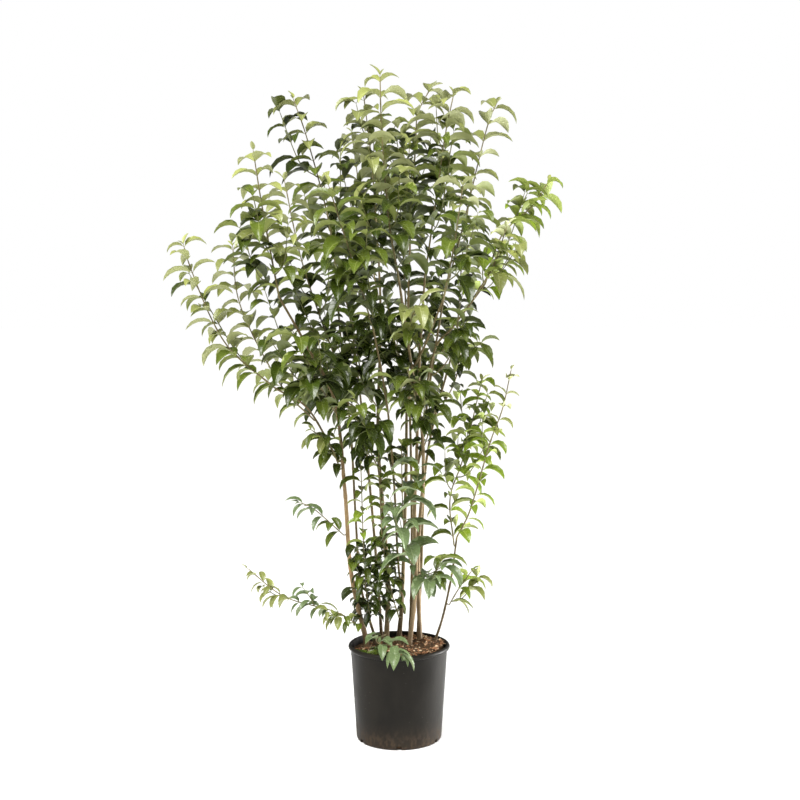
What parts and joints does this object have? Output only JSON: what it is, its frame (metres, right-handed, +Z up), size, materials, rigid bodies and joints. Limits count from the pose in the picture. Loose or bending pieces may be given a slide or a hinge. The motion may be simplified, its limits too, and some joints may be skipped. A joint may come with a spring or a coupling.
{
  "type": "potted japanese privet",
  "caption": "Tall open evergreen shrub with slender canes rising from bark mulch in a round black nursery pot, arched leaves in pairs on upright leaders.",
  "frame": {"origin": "centre of the pot's flat underside, on the pot's axis", "axes": "+Z up along the pot's axis, -Y towards the plant's front, +X to the plant's right as seen from the front"},
  "size_m": [1.0086, 0.9247, 1.7522],
  "materials": {
    "black_plastic": "satin black moulded plastic, dusty towards the foot",
    "bark_mulch": "damp chipped bark",
    "privet_bark": "smooth tan bark with fine pores",
    "privet_leaf": "glossy green leaf, paler beneath"
  },
  "bodies": {
    "root": {"bough_east": "privet_bark", "bough_far_west": "privet_bark", "bough_south": "privet_bark", "bough_southeast": "privet_bark", "cane_east": "privet_bark", "cane_far_east": "privet_bark", "cane_far_north": "privet_bark", "cane_middle": "privet_bark", "cane_north": "privet_bark", "cane_north_northwest": "privet_bark", "cane_northeast": "privet_bark", "cane_northwest": "privet_bark", "cane_slim": "privet_bark", "cane_south": "privet_bark", "cane_west": "privet_bark", "crown_back": "privet_leaf", "crown_back_left": "privet_leaf", "crown_back_right": "privet_leaf", "crown_east": "privet_leaf", "crown_front_low": "privet_leaf", "crown_front_middle": "privet_leaf", "crown_front_right": "privet_leaf", "crown_front_young": "privet_leaf", "crown_inner_left": "privet_leaf", "crown_inner_right": "privet_leaf", "crown_low_left": "privet_leaf", "crown_middle": "privet_leaf", "crown_southeast": "privet_leaf", "crown_west_front": "privet_leaf", "crown_west_low": "privet_leaf", "leader_back": "privet_leaf", "leader_back_east": "privet_leaf", "leader_back_left": "privet_leaf", "leader_back_west": "privet_leaf", "leader_east": "privet_leaf", "leader_far_east": "privet_leaf", "leader_far_west": "privet_leaf", "leader_front": "privet_leaf", "leader_low_east": "privet_leaf", "leader_low_northeast": "privet_leaf", "leader_middle": "privet_leaf", "leader_north": "privet_leaf", "leader_northwest": "privet_leaf", "leader_right": "privet_leaf", "leader_south": "privet_leaf", "leader_southeast": "privet_leaf", "leader_southwest": "privet_leaf", "leader_west": "privet_leaf", "leader_west_inner": "privet_leaf", "leader_west_middle": "privet_leaf", "pot": "black_plastic", "potting_mix": "bark_mulch", "spray_foot_left": "privet_leaf", "spray_foot_middle": "privet_leaf", "spray_low_right": "privet_leaf", "spray_low_west": "privet_leaf", "spray_mid_west": "privet_leaf", "spray_rim": "privet_leaf", "spray_waist_front": "privet_leaf", "spray_waist_right": "privet_leaf"}
  },
  "joints": []
}
